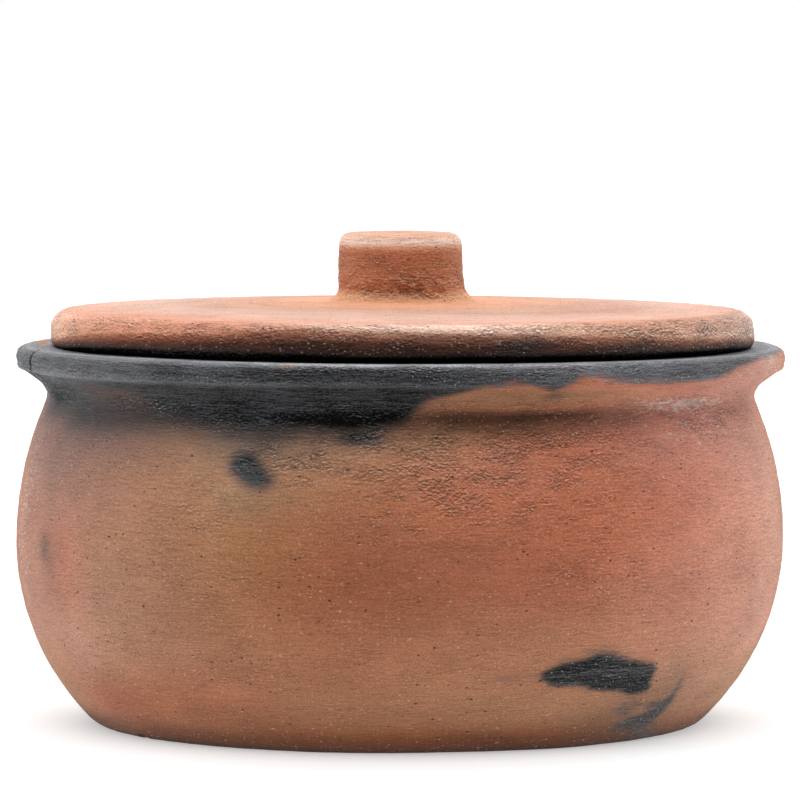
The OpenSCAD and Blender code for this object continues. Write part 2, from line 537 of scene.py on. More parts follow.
# Paint of the pot: colours, each with a pixel of the photograph that shows where it lies, and its reach
POT_CLAY = (196, 128, 94)
POT_CLAY_SHARE = 0.12
POT_ZONES = (
    ((400, 712), EVERYWHERE, 9, (199, 143, 104)),
    # Painted shade along the foot's lower edge, where it turns under
    ((400, 748), EVERYWHERE, 6.5, (100, 54, 28)),
    ((95, 398), 26, 9, (112, 88, 83)),
    ((95, 432), 26, 8, (120, 95, 91)),
    ((70, 465), 20, 10, (152, 116, 107)),
    ((105, 498), 14, 12, (188, 140, 114)),
    ((30, 560), 9, 26, (200, 140, 115)),
    ((66, 520), 13, 18, (188, 133, 111)),
    ((140, 560), 22, 26, (192, 140, 108)),
    ((215, 495), 16, 18, (207, 152, 111)),
    ((290, 448), 28, 7, (150, 133, 117)),
    ((330, 560), 34, 34, (183, 107, 71)),
    ((450, 590), 34, 26, (178, 109, 78)),
    ((440, 650), 58, 9, (204, 146, 108)),
    ((385, 466), 38, 14, (240, 178, 136)),
    ((580, 480), 38, 30, (216, 122, 88)),
    ((480, 475), 24, 14, (232, 142, 106)),
    ((690, 460), 22, 24, (208, 138, 118)),
    ((748, 550), 20, 40, (232, 166, 142)),
    ((655, 600), 16, 14, (220, 146, 118)),
    ((600, 450), 20, 8, (214, 134, 106)),
    ((510, 397), 24, 4, (173, 131, 92)),
    ((600, 400), 30, 4, (232, 170, 138)),
    # Painted shade in the crease under the lip
    ((560, 415), 44, 2.5, (112, 66, 50)),
    ((450, 419), 20, 2.4, (58, 32, 19)),
    ((510, 418), 18, 2, (92, 54, 36)),
    ((500, 428), 18, 3, (112, 74, 54)),
    ((745, 385), 18, 8, (206, 148, 130)),
    ((770, 358), 5, 3, (226, 186, 168)),
    ((240, 705), 34, 9, (172, 108, 76)),
    ((110, 702), 12, 7, (182, 112, 84)),
    ((250, 565), 16, 16, (196, 132, 90)),
    ((80, 640), 9, 26, (208, 152, 128)),
    ((668, 690), 6, 9, (150, 116, 90)),
    ((605, 718), 12, 4, (142, 106, 82)),
)
POT_TONES = (
    ((400, 600), EVERYWHERE, 45, (0.85, 0.86, 0.86)),
    ((400, 715), EVERYWHERE, 9, (0.86, 0.86, 0.84)),
    # Painted shade at the foot's lower edge
    ((400, 746), EVERYWHERE, 4, (0.75, 0.68, 0.6)),
    ((400, 752), EVERYWHERE, 1.5, (0.3, 0.26, 0.24)),
    # Painted shade under the lip and in the crease
    ((500, 428), 22, 3, (0.6, 0.65, 0.61)),
    ((510, 400), 26, 4, (0.72, 0.78, 0.72)),
    ((600, 420), 22, 3, (0.75, 0.82, 0.9)),
    ((740, 430), 20, 14, (0.85, 0.85, 0.88)),
    ((740, 600), 16, 20, (0.78, 0.77, 0.76)),
    ((700, 690), 20, 8, (0.86, 0.88, 0.88)),
    ((120, 700), 20, 8, (0.95, 0.71, 0.64)),
    ((180, 650), 16, 10, (0.92, 0.88, 0.88)),
    ((60, 560), 10, 16, (0.93, 0.8, 0.75)),
    ((250, 445), 12, 4, (0.85, 1.0, 1.15)),
    ((400, 458), 26, 6, (1.2, 1.24, 1.28)),
    ((455, 498), 20, 8, (1.28, 1.14, 1.12)),
    ((570, 448), 34, 8, (1.16, 1.12, 1.12)),
    ((695, 410), 20, 5, (1.18, 1.12, 1.14)),
    ((565, 404), 18, 3, (1.18, 1.12, 1.05)),
    ((50, 418), 9, 5, (1.3, 1.25, 1.3)),
    ((430, 438), 16, 4, (0.86, 0.98, 0.97)),
    ((350, 590), 30, 20, (0.98, 0.88, 0.76)),
    ((740, 575), 14, 24, (1.15, 1.08, 1.04)),
    ((80, 685), 10, 8, (1.12, 1.08, 1.18)),
    ((300, 722), 40, 5, (0.86, 0.82, 0.78)),
    ((450, 738), 60, 4, (0.95, 0.75, 0.46)),
    ((600, 720), 22, 5, (0.88, 0.84, 0.82)),
    ((520, 408), 26, 1.3, (1.22, 1.12, 1.1)),
    ((575, 396), 14, 1.6, (0.75, 0.82, 0.75)),
    ((62, 421), 6, 4, (1.2, 1.2, 1.25)),
    ((100, 420), 12, 4, (0.8, 0.86, 0.92)),
    ((215, 480), 10, 8, (1.07, 1.12, 1.2)),
    ((120, 510), 26, 14, (1.14, 1.06, 1.0)),
    ((250, 500), 10, 5, (0.86, 1.02, 1.1)),
    ((740, 400), 12, 5, (0.95, 0.87, 0.83)),
    ((640, 402), 16, 4, (0.88, 0.89, 0.9)),
    ((700, 500), 24, 14, (1.12, 1.06, 1.0)),
    ((575, 530), 34, 24, (1.04, 0.95, 0.86)),
    ((375, 480), 20, 10, (0.94, 0.93, 0.87)),
    ((200, 700), 20, 8, (1.14, 0.96, 0.92)),
    ((30, 560), 6, 26, (0.92, 0.88, 0.86)),
    ((250, 560), 14, 12, (1.08, 1.12, 1.03)),
    ((300, 480), 14, 8, (1.1, 1.12, 1.1)),
    ((650, 450), 14, 8, (0.9, 1.0, 1.1)),
    ((500, 470), 12, 8, (0.9, 0.93, 1.0)),
    ((72, 575), 7, 14, (1.2, 1.1, 1.06)),
    ((40, 440), 5, 8, (0.92, 1.05, 1.15)),
)
# A band of painted shade under the crease of the neck
PAINTED_NECK_SHADE = (428, 419), (450, 418), (480, 418), (510, 418), (540, 417), (570, 415), (600, 413)
PAINTED_NECK_SHADE_HALF_WIDTHS = 0.8, 2.1, 2.1, 2, 1.6, 1, 0.4
PAINTED_NECK_SHADE_FACTORS = (0.52, 0.46, 0.38)
SOOT_EDGE = (
    (62, 426), (100, 428), (150, 429), (175, 431), (200, 436), (225, 441), (250, 445), (275, 444),
    (300, 439), (330, 440), (350, 441), (372, 438), (395, 430), (410, 420), (417, 410), (426, 403),
    (440, 398), (460, 393), (480, 388), (510, 385), (530, 386), (543, 388), (553, 392), (562, 387),
    (571, 385), (582, 378), (600, 379), (620, 382), (650, 384), (700, 381), (727, 376), (737, 369),
    (753, 362), (766, 357), (777, 354),
)
SOOT_EDGE_BEHIND = (-170, 14), (-140, 20), (-115, 26), (-95, 30), (92, 3), (100, 6), (125, 8), (150, 12)
SOOT_THINS_OUT = 45 * MM, 75 * MM
MARK = (
    (538, 676), (546, 669), (560, 663), (576, 659), (588, 656), (600, 652), (612, 653), (624, 658),
    (640, 660), (652, 662), (656, 667), (653, 674), (650, 681), (650, 688), (644, 692), (638, 695),
    (630, 696), (624, 694), (618, 691), (604, 691), (590, 690), (582, 686), (572, 685), (560, 687),
    (550, 685), (543, 681),
)
MARK_TAIL = (545, 676), (526, 675), (500, 678), (480, 683)
MARK_TAIL_HALF_WIDTHS = 1.6, 1.2, 1, 0.2
MARK_HALO = (560, 660), (585, 653), (604, 648), (620, 653), (645, 658)
MARK_HALO_HALF_WIDTHS = 1, 1.6, 2, 1.6, 0.6
STREAK = (680, 680), (676, 691), (669, 700), (660, 708), (651, 716), (640, 721), (627, 723), (611, 728)
STREAK_HALF_WIDTHS = 0.4, 1.6, 2.8, 3.8, 4.4, 4.6, 3.6, 1.2
STREAK_FOOT = (645, 719), (638, 736)
STREAK_FOOT_HALF_WIDTHS = 3.4, 2.4
SMUDGE = (
    (229, 459), (234, 452), (246, 448), (257, 452), (263, 464), (275, 477), (274, 487), (262, 491),
    (250, 490), (240, 483), (229, 472),
)
# Painted shade: where the soot is darkest, in the hollow under the lip
HOLLOW_SHADE = (275, 417), (300, 419), (330, 421), (355, 422), (380, 421), (400, 419), (420, 416)
HOLLOW_SHADE_HALF_WIDTHS = 0.4, 1.6, 2.2, 2.6, 2.4, 1.8, 0.5
THIN_SPOTS = (
    ((93, 390), 17, 6, 0.45), ((132, 398), 12, 4, 0.32), ((60, 423), 6, 4, 0.3), ((43, 414), 3, 8, 0.7),
    ((556, 394), 6, 4, 0.3), ((42, 342), 9, 2, 0.85), ((287, 367), 3.5, 1.2, 0.6),
)
SPOTS = (
    ((357, 437), 9, 3.2, 0.9), ((46, 548), 4.5, 5, 0.55), ((640, 736), 8, 2.5, 0.75),
    ((60, 401), 5, 4, 0.8), ((700, 388), 6, 1.5, 0.3), ((110, 480), 16, 10, 0.12),
    ((240, 452), 12, 6, 0.35), ((150, 422), 10, 3, 0.6), ((628, 707), 6, 3.5, 0.55),
    ((640, 729), 6, 4, 0.65), ((652, 706), 5, 3, 0.6), ((662, 701), 4, 3, 0.4),
    ((75, 405), 18, 2.2, 0.7), ((553, 396), 3.5, 3, 0.5), ((772, 346), 9, 3, 0.9),
    ((51, 560), 4, 5, 0.4),
)


def soot_softness(pot):
    """Width of the soot's edge under the lip, in millimetres: narrow at the right, wide left and behind."""
    degrees = np.degrees(pot.angle)
    left = 1 - smoothstep(degrees, -22, 4)
    far = smoothstep(np.abs(degrees), 82, 100)
    soft = 3.6 + 4 * (1 - smoothstep(degrees, -6, 6)) + 9 * left + 6 * far * (1 - left)
    return soft + 3 * bell(degrees, 3, 5) + 1.6 * bell(degrees, 34, 14)


def pot_soot(pot):
    """How sooty the pot is: 0 clean, 0.5 on the edge of the soot, 1 and more well inside it."""
    stray = (0.9 * noise_at(pot.rest(), 7 * MM) + 0.6 * noise_at(pot.rest() * [0.5, 0.5, 1.3], 3 * MM)) * MM
    edge = edge_round(pot, SOOT_EDGE, SOOT_EDGE_BEHIND)
    rim = 0.5 + (pot.along - edge + 0.8 * stray) / (soot_softness(pot) * MM)
    start, end = SOOT_THINS_OUT
    mouth = 1 - smoothstep(pot.along, pot.crest + start, pot.crest + end)
    soot = np.minimum(rim, 1.2) * mouth
    soot *= 1 - np.minimum(summed(pot, THIN_SPOTS), 1)
    soot = np.maximum(soot, strongest(pot, SPOTS))
    soot = np.maximum(soot, patch(pot, SMUDGE, 7, 0.5 * stray))
    soot = np.maximum(soot, patch(pot, MARK, 2.6, 0.25 * stray))
    soot = np.maximum(soot, 0.5 * trail(pot, MARK_TAIL, MARK_TAIL_HALF_WIDTHS, 4, stray))
    soot = np.maximum(soot, 0.42 * trail(pot, MARK_HALO, MARK_HALO_HALF_WIDTHS, 4, 0.5 * stray))
    soot = np.maximum(soot, np.minimum(trail(pot, STREAK, STREAK_HALF_WIDTHS, 5, 0.4 * stray), 0.9))
    soot = np.maximum(soot, 0.75 * trail(pot, STREAK_FOOT, STREAK_FOOT_HALF_WIDTHS, 6, stray))
    return np.clip(soot, 0, 1.3)


# Spots where the soot is worn grey or kept dark: the bright ones on the lip's crest are partly a painted
# highlight, and the dark one at the crack's foot is painted shade.
RUBBED_AND_PAINTED_LIGHT_SPOTS = (
    ((52, 374), 10, 1.2, 0.3), ((350, 365), 26, 1.2, 0.8), ((460, 366), 34, 1.2, 0.5),
    ((200, 363), 34, 1.5, 0.25), ((600, 368), 30, 3, 0.4), ((600, 371), 16, 3, 0.16),
    ((90, 365), 26, 6, 0.1), ((85, 380), 12, 3, 0.14), ((330, 380), 46, 3, -0.16),
    ((400, 373), 30, 1.6, -0.06), ((58, 400), 9, 4, -0.45), ((25, 358), 5, 5, -0.1),
    ((600, 672), 22, 10, -0.1), ((31, 374), 1.2, 1.4, -0.5), ((400, 366), 5, 1.5, -0.3),
    ((300, 400), 80, 5, -0.05), ((250, 470), 8, 5, 0.07),
)
# Salt bloom; the wide spots along the pot's left and right edges are partly a painted sheen
BLOOM_AND_SHEEN_SPOTS = (
    ((690, 403), 16, 1.5, 1.25), ((690, 425), 24, 6, 0.6), ((640, 402), 14, 1.2, 0.6),
    ((730, 520), 30, 42, 0.5), ((30, 480), 14, 26, 0.6), ((118, 655), 6, 12, 0.7),
    ((640, 660), 20, 14, 0.35), ((85, 570), 8, 14, 0.3), ((287, 367), 4, 1.5, 1.0),
    ((772, 500), 8, 40, 0.5), ((22, 560), 16, 28, 0.45), ((445, 374), 8, 3, 1.0),
    ((200, 377), 10, 2, 1.0), ((630, 380), 22, 2.5, 0.8), ((480, 369), 20, 2, 0.5),
)
RAGGED_SPOTS = ((600, 672), 34, 14, 0.75), ((650, 715), 20, 12, 1.0), ((600, 380), 60, 6, 1.0)


def pot_rubbed_and_painted_light(pot):
    """How far the soot is worn to grey and painted lighter: most on the lip's crest, where it is partly a
    painted highlight, least in the crack and the hollow under the lip, which are painted shade.
    """
    line = pot.seen(RIDGE)[1]
    rubbed_and_painted_light = smoothstep(pot.along, line - 1 * MM, line + 1 * MM) * 0.13
    # A painted highlight along the lip's crest, on top of its wear
    rubbed_and_painted_light += smoothstep(pot.along, pot.crest - 4.5 * MM, pot.crest - 1 * MM) * 0.5
    rubbed_and_painted_light *= 1 - 0.5 * smoothstep(pot.along, pot.crest + 2 * MM, pot.crest + 8 * MM)
    rubbed_and_painted_light += 0.25 * bell(pot.along, line, 1 * MM)
    rubbed_and_painted_light -= 0.06 * (1 - smoothstep(pot.along, line - 3 * MM, line - 1 * MM))
    # Painted shade in the hollow under the lip and in the crack
    rubbed_and_painted_light -= 0.6 * np.clip(trail(pot, HOLLOW_SHADE, HOLLOW_SHADE_HALF_WIDTHS, 2.5, 0), 0, 1) + 0.9 * crack(pot)
    return rubbed_and_painted_light + summed(pot, RUBBED_AND_PAINTED_LIGHT_SPOTS)


def pot_ground(pot):
    """The clay's colour with its painted shade, darker in a band of painted shade with a sharp upper edge
    under the crease of the neck.
    """
    colours = varied(pot, ground(pot, POT_ZONES, POT_CLAY, POT_CLAY_SHARE), POT_TONES)
    stray = 0.4 * MM * noise_at(pot.rest(), 6 * MM)
    band = np.clip(trail(pot, PAINTED_NECK_SHADE, PAINTED_NECK_SHADE_HALF_WIDTHS, 1.6, stray), 0, 1)
    return colours * (1 + np.outer(band, np.array(PAINTED_NECK_SHADE_FACTORS) - 1))


def paint_pot(pot, piece, torn):
    pot.paint(piece, "along", pot.along)
    # The clay's colour, with painted shade at the foot, under the lip and in the crease
    pot.paint(piece, "ground", pot_ground(pot))
    pot.paint(piece, "soot", pot_soot(pot))
    pot.paint(piece, "torn", torn)
    pot.paint(piece, "rubbed_and_painted_light", pot_rubbed_and_painted_light(pot))
    pot.paint(piece, "bloom_and_sheen", summed(pot, BLOOM_AND_SHEEN_SPOTS, 0.08))
    pot.paint(piece, "ragged", np.clip(summed(pot, RAGGED_SPOTS, 0.12), 0, 1))


# Shape of the lid
LID_COLUMNS = 420
LID_EDGE_R = 118 * MM
LID_UNDER_Z = SEAT_Z + 0.5 * MM
KNOB_FOOT_R = 29 * MM
LID_UNDER_EDGE = 118 * MM, 124 * MM
KNOB_SUNK = 0.2 * MM
LID_SHIFT = 0.55 * MM
KNOB_SHIFT = -0.75 * MM
KNOB_SHIFT_Z = SEAT_Z + 19 * MM, SEAT_Z + 26 * MM
LID_SMOOTH_SPOTS = (((110, 335), 40, 9, 0.55),)
LID_SIDE = (400, 340)
LID_KNEE = (400, 328)
LID_FOOT = (400, 360)
KNOB_SIDE = (400, 274)
JOINT_LINE = (410, 291)
RING_LINE = (400, 309)
SIDE_SPREAD = 5 * MM
LID_LUMPS = 40 * MM
LID_BUMPS = 8 * MM
LID_TURNING = 5 * MM
LID_TEAR = 2.8 * MM
LID_TEAR_STRETCH = [0.6, 0.6, 1]
KNOB_LUMPS = 7 * MM
RING_WIDTH = 1.2 * MM
CRUMBS = 2.4 * MM
SPLIT_WIDTH = 0.5 * MM


def lid_spacing(r, z):
    if z < LID_UNDER_Z and r < LID_EDGE_R:
        return HIDDEN_ROWS
    if r < KNOB_FOOT_R or r > LID_EDGE_R:
        return FINE_ROWS
    return LID_TOP_ROWS


def lid_moved(co):
    """The lid lies off the middle and with the rim's tilt, and its knob sits off the lid's middle."""
    x, y, z = co.T
    shift = LID_SHIFT + KNOB_SHIFT * smoothstep(z, *KNOB_SHIFT_Z)
    return np.column_stack([x + shift, y, z - y * TILT - x * ROLL])


def lid_relief(lid, torn, knob, joint):
    """How far each point stands out from the plain turned shape, in millimetres."""
    rest = lid.rest()
    relief = 0.15 * noise_at(rest, LID_LUMPS) + 0.1 * noise_at(rest, LID_BUMPS)
    relief += 0.5 * torn * noise_at(rest * LID_TEAR_STRETCH, LID_TEAR)
    relief += 0.3 * knob * noise_at(rest, KNOB_LUMPS)
    relief += 0.12 * noise_at(np.column_stack([0 * lid.r, 0 * lid.r, lid.along]), LID_TURNING)
    relief -= 0.3 * bell(lid.along, lid.seen(RING_LINE)[1], RING_WIDTH)
    front = smoothstep(np.cos(lid.angle), 0, 0.6)
    relief += 0.6 * front * bell(lid.along, lid.seen(LID_KNEE)[1], 2 * MM)
    relief += 0.6 * bell(lid.along, lid.seen(LID_FOOT)[1], 1.2 * MM)
    relief += 2.4 * joint * noise_at(rest, CRUMBS)
    split_line = lid.seen(JOINT_LINE)[1] + 1.2 * MM * noise_at(rest, 6 * MM)
    relief -= 1.1 * bell(lid.along, split_line, SPLIT_WIDTH) * near(lid, JOINT_LINE, 14, 5)
    return relief


def make_lid():
    lid = Turned("lid", lid_spacing, columns_with(LID_COLUMNS, ()), lid_moved)
    side = bell(lid.along, lid.seen(LID_SIDE)[1], SIDE_SPREAD)
    knob = bell(lid.along, lid.seen(KNOB_SIDE)[1], SIDE_SPREAD)
    joint = near(lid, JOINT_LINE, 15, 2.5)
    torn = np.clip(0.06 + 0.9 * side * (1 - summed(lid, LID_SMOOTH_SPOTS)) + 0.55 * knob, 0, 1)
    outer = smoothstep(lid.along, *LID_UNDER_EDGE)
    co = lid_moved(lid.pushed(lid_relief(lid, torn, knob, joint) * outer * MM))
    co[:, 2] = np.minimum(co[:, 2], TOP_Z)
    ends = [(LID_SHIFT, 0, SEAT_Z), (LID_SHIFT + KNOB_SHIFT, 0, TOP_Z - KNOB_SUNK)]
    piece = lid.build("roaster_lid", co, ends)
    paint_lid(lid, piece, np.clip(torn + joint, 0, 1))
    return piece


# Paint of the lid, placed the same way
# Where the black painted shadow in the gap between lid and lip begins
LID_GAP = (400, 356)
LID_COLUMN = 400
LID_SQUEEZE = (
    (-90, 4), (-72, 2.8), (-59, 2), (-43, 1.6), (-29, 1.3), (-17, 0.9), (0, 1), (16, 1.2), (35, 1.45),
    (53, 2.1), (75, 3),
)
# Colours down the lid's front, by row: painted highlights on the knob's top edge and the lid's knee,
# painted shade down the lid's lower side, and a black painted shadow in the gap over the lip
LID_BANDS = (
    (234, (218, 163, 135)), (238, (236, 186, 160)), (244, (250, 222, 206)), (247, (236, 184, 156)),
    (251, (206, 138, 104)), (256, (194, 122, 88)), (266, (195, 127, 91)), (280, (208, 136, 100)),
    (290, (206, 136, 98)), (297, (230, 166, 124)), (304, (236, 167, 127)), (309, (214, 154, 122)),
    (316, (217, 172, 153)), (325, (224, 172, 148)), (329, (252, 214, 194)), (332, (238, 192, 166)),
    (335, (196, 146, 120)), (339, (184, 130, 104)), (343, (150, 102, 80)), (348, (104, 66, 48)),
    (353, (84, 52, 38)), (356, (50, 32, 24)), (358, (8, 6, 4)), (362, (2, 2, 2)),
)
LID_UNDER = (170, 112, 82)
LID_RAISED = (
    (-90, -2.4), (-76, -1.5), (-64, 0), (-50, 0.6), (-17, 0.7), (-4, 0.1), (10, 0.3), (40, 0.3),
    (66, 0), (90, -1.8),
)
LID_SOOT_SPOTS = ((520, 346), 10, 3, 0.45), ((640, 347), 12, 2, 0.4), ((200, 350), 30, 2, 0.3)
# Salt bloom; the spots at the lid's ends and on the knob's top edge are partly a painted sheen and
# highlight
LID_BLOOM_AND_SHEEN_SPOTS = (
    ((742, 333), 3, 3, 0.7), ((78, 330), 3, 4, 0.5), ((690, 335), 20, 4, 0.25),
    ((685, 347), 4, 1.5, 0.5), ((400, 241), 12, 2, 0.3),
)
LID_ZONES = (
    ((230, 328), 14, 3.5, (0.8, 0.7, 0.66)),
    ((100, 340), 30, 3.5, (1.2, 1.04, 0.88)),
    ((110, 313), 40, 8, (0.97, 0.88, 0.8)),
    ((690, 340), 26, 3.5, (1.25, 1.22, 1.18)),
    # Painted highlights on the lid's knee and on the knob's top edge
    ((400, 330), 26, 1.6, (1.35, 1.5, 1.6)),
    ((530, 329), 20, 1.8, (1.3, 1.4, 1.45)),
    ((400, 243), 14, 2, (1.25, 1.28, 1.3)),
    ((715, 328), 30, 4, (0.74, 0.74, 0.76)),
    ((720, 320), 30, 4, (0.78, 0.74, 0.72)),
    ((60, 332), 8, 4, (1.3, 1.25, 1.2)),
    ((400, 312), EVERYWHERE, 14, (0.9, 0.92, 0.91)),
    ((680, 341), 34, 3, (1.12, 1.14, 1.13)),
    ((100, 325), 20, 3, (0.87, 0.88, 0.86)),
    ((200, 318), 34, 7, (0.97, 0.86, 0.78)),
    ((600, 311), 34, 9, (0.86, 0.71, 0.62)),
    ((150, 330), 55, 7, (1.08, 0.72, 0.58)),
    ((640, 326), 50, 7, (1.0, 0.76, 0.63)),
    # Painted shade on the front of the lid's lower side
    ((400, 346), 40, 2.5, (0.85, 0.76, 0.72)),
    ((355, 270), 4, 8, (1.13, 1.23, 1.25)),
    ((450, 270), 4, 8, (1.1, 1.2, 1.2)),
    ((640, 346), 5, 1.5, (0.5, 0.5, 0.55)),
    ((530, 345), 6, 1.8, (0.5, 0.5, 0.55)),
)


def paint_lid(lid, piece, torn):
    lid.paint(piece, "along", lid.along)
    squeeze = np.interp(np.degrees(lid.angle), *zip(*LID_SQUEEZE))
    raised = np.interp(np.degrees(lid.angle), *zip(*LID_RAISED)) * MM
    # The lid's colour, with its painted highlights and shade
    colours = bands(lid, LID_COLUMN, LID_BANDS, LID_UNDER, raised, squeeze, LID_GAP, LID_KNEE)
    lid.paint(piece, "ground", varied(lid, colours, LID_ZONES))
    lid.paint(piece, "torn", torn)
    lid.paint(piece, "soot", summed(lid, LID_SOOT_SPOTS))
    lid.paint(piece, "rubbed_and_painted_light", 0 * lid.r)
    lid.paint(piece, "bloom_and_sheen", summed(lid, LID_BLOOM_AND_SHEEN_SPOTS, 0.1))
    lid.paint(piece, "ragged", 0.12 + 0 * lid.r)


# Material: fired clay with soot, made of noise along the turning of the wheel
SOOT_DARK = tuple(screen(16, 16, 17))
SOOT_LIGHT = tuple(screen(149, 151, 157))
# Nearly white on the lip's crest: scuffs, and a painted highlight
SCUFF_AND_GLINT = tuple(screen(226, 226, 230))
SALT = tuple(screen(232, 218, 212))
GRIT = tuple(screen(232, 196, 172))
CHALK = tuple(screen(255, 228, 208))
# Dark colour for small pits: painted shade inside them
PIT = tuple(screen(58, 32, 20))

# How far the noises lie from each other, and how strong they are
NOISE_SHIFT = (7.3, 3.1, 5.7)
NOISE_RANGE = 2.4

# How many times brighter or darker than the clay's own colour its tones are, in red, green and blue; the
# tones include painted light and shade on the clay's lumps, and the last factor is the painted highlight on
# their lit edges
DARKER = (0.42, 0.34, 0.28)
LIGHTER = (1.62, 1.72, 1.8)
LUMP_HIGHLIGHT = (2.0, 2.6, 3.2)
CLAY_ROUGHNESS = 0.78
CLAY_SHINE = 0.5
# The brightness below which a colour is the black painted shadow, kept free of salt and grit
PAINTED_BLACK = 0.004, 0.03
SHINELESS_BLACK = 0.0, 0.02


class Graph:
    """The nodes of one material; each method adds nodes and gives back the socket with the result."""

    def __init__(self, name):
        self.material = bpy.data.materials.new(name)
        self.material.use_nodes = True
        self.nodes = self.material.node_tree.nodes
        self.links = self.material.node_tree.links
        self.shader = self.nodes["Principled BSDF"]
        spot = self.add("ShaderNodeSeparateXYZ", self.nodes.new("ShaderNodeTexCoord").outputs["Object"])
        wheel = self.add("ShaderNodeCombineXYZ", spot.outputs[0], spot.outputs[1], self.painted("along"))
        self.wheel = wheel.outputs[0]
        self.count = 0

    def add(self, kind, *values, **settings):
        node = self.nodes.new(kind)
        for name, value in settings.items():
            setattr(node, name, value)
        for socket, value in zip(node.inputs, values):
            self.feed(socket, value)
        return node

    def feed(self, socket, value):
        if isinstance(value, bpy.types.NodeSocket):
            self.links.new(value, socket)
        elif isinstance(value, tuple) and len(socket.default_value) == 4:
            socket.default_value = (*value, 1)
        else:
            socket.default_value = value

    def painted(self, name, output="Fac"):
        node = self.add("ShaderNodeAttribute", attribute_name=name)
        return node.outputs[output]

    def math(self, operation, a, b=0.0, c=0.0):
        return self.add("ShaderNodeMath", a, b, c, operation=operation).outputs[0]

    def total(self, *parts):
        """The sum of parts, each a (socket, strength) pair."""
        result = 0.0
        for socket, strength in parts:
            result = self.math("MULTIPLY_ADD", socket, strength, result)
        return result

    def ramp(self, value, low, high, start=0.0, end=1.0):
        values = value, low, high, start, end
        return self.add("ShaderNodeMapRange", *values, interpolation_type="SMOOTHSTEP").outputs[0]

    def mix(self, share, a, b, kind="MIX"):
        node = self.add("ShaderNodeMix", data_type="RGBA", blend_type=kind)
        self.feed(node.inputs[0], share)
        self.feed(node.inputs[6], a)
        self.feed(node.inputs[7], b)
        return node.outputs[2]

    def spread(self, wide, high, lift=0.0):
        """The wheel's coordinates in steps of wide (round the axis) by high (along it) millimetres.

        Each call shifts them further, so that no two noises show the same pattern.
        """
        self.count += 1
        step = (1 / (wide * MM), 1 / (wide * MM), 1 / (high * MM))
        x, y, z = (part * self.count for part in NOISE_SHIFT)
        shift = (x, y, z + lift / high)
        node = self.add("ShaderNodeVectorMath", self.wheel, step, shift, operation="MULTIPLY_ADD")
        return node.outputs[0]

    def noise(self, wide, high, detail=2.0, rough=0.5, twist=0.0, lift=0.0):
        """Noise from about -0.7 to 0.7, in lumps of wide by high millimetres."""
        node = self.add("ShaderNodeTexNoise", self.spread(wide, high, lift))
        node.inputs["Scale"].default_value = 1
        node.inputs["Detail"].default_value = detail
        node.inputs["Roughness"].default_value = rough
        node.inputs["Distortion"].default_value = twist
        return self.math("MULTIPLY_ADD", node.outputs["Fac"], NOISE_RANGE, -NOISE_RANGE / 2)

    def relief(self, wide, high, detail, rough, twist, lift):
        """Lumps, and how much they drop from just below each place to just above: their lit side."""
        lumps = self.noise(wide, high, detail, rough, twist, -lift)
        self.count -= 1
        above = self.noise(wide, high, detail, rough, twist, lift)
        return lumps, self.math("SUBTRACT", lumps, above)

    def dots(self, wide, high, radius, share):
        """Scattered dots, 1 inside: each fills up to radius of its cell, in a share of the cells."""
        node = self.add("ShaderNodeTexVoronoi", self.spread(wide, high))
        node.inputs["Scale"].default_value = 1
        luck = self.add("ShaderNodeSeparateColor", node.outputs["Color"]).outputs[0]
        shape = self.ramp(node.outputs["Distance"], radius * 0.5, radius, 1.0, 0.0)
        chosen = self.math("GREATER_THAN", luck, 1 - share)
        return self.math("MULTIPLY", shape, chosen)

    def finish(self, colour, roughness, shine, height):
        """Connects the results; height is in millimetres."""
        bump = self.add("ShaderNodeBump")
        bump.inputs["Strength"].default_value = 1
        bump.inputs["Distance"].default_value = MM
        self.feed(bump.inputs["Height"], height)
        self.feed(self.shader.inputs["Normal"], bump.outputs[0])
        self.feed(self.shader.inputs["Base Color"], colour)
        self.feed(self.shader.inputs["Roughness"], roughness)
        self.feed(self.shader.inputs["Specular IOR Level"], shine)
        return self.material


